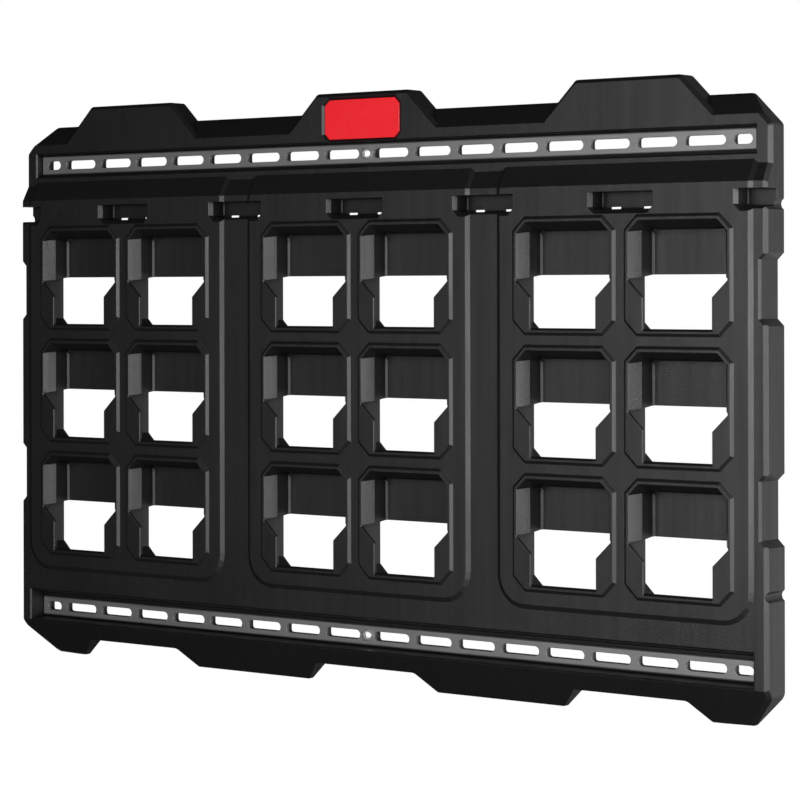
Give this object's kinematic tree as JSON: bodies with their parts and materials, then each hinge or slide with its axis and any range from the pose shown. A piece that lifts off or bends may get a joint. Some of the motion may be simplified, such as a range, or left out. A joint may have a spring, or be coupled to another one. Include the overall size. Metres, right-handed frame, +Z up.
{
  "type": "wall mounting plate",
  "caption": "Wide black wall plate with cleat pockets, latch slots and two slotted steel rails for wall screws, which holds stackable tool boxes.",
  "frame": {"origin": "middle of the plate's wall face", "axes": "+X to the right along the plate as seen from the front, +Y into the wall, +Z up; the front faces -Y"},
  "size_m": [0.802, 0.031, 0.51],
  "materials": {
    "black_plastic": "fine moulded grain, satin",
    "grey_steel": "satin grey",
    "bright_aluminium": "bright, as headed",
    "dull_steel": "dull broken end",
    "red_badge": "smooth satin, bare"
  },
  "bodies": {
    "root": {"plate": "black_plastic", "upper_rail": "grey_steel", "lower_rail": "grey_steel", "upper_rail_rivet": "bright_aluminium", "lower_rail_rivet": "bright_aluminium", "upper_rail_rivet_mandrel": "dull_steel", "lower_rail_rivet_mandrel": "dull_steel", "badge": "red_badge"}
  },
  "joints": []
}
